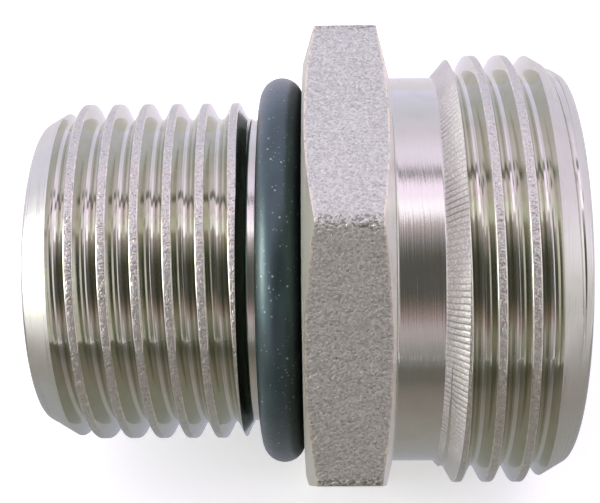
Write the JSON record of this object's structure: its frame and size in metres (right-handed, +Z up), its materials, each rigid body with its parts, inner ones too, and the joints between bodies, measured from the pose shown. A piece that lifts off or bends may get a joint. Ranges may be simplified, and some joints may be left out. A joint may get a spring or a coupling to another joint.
{
  "type": "eurocone nipple",
  "caption": "Straight pipe nipple with a hexagon between a smaller thread sealed by a rubber ring and a larger thread whose mouth holds a cone seat.",
  "frame": {"origin": "on the waterway's axis, in the hexagon's face that the rubber ring seals against", "axes": "+X along the waterway, out of the three quarter inch end with the cone seat; +Z up, at right angles to a flat of the hexagon, with the opposite flat lying down"},
  "size_m": [0.0314, 0.0306, 0.0266],
  "materials": {
    "nickel_plated_brass": "nickel plated: bright on the turned threads and neck, grained on the forged hexagon",
    "seal_rubber": "matte black rubber, lightly dusty"
  },
  "bodies": {
    "root": {"nipple_body": "nickel_plated_brass", "o_ring": "seal_rubber"}
  },
  "joints": []
}
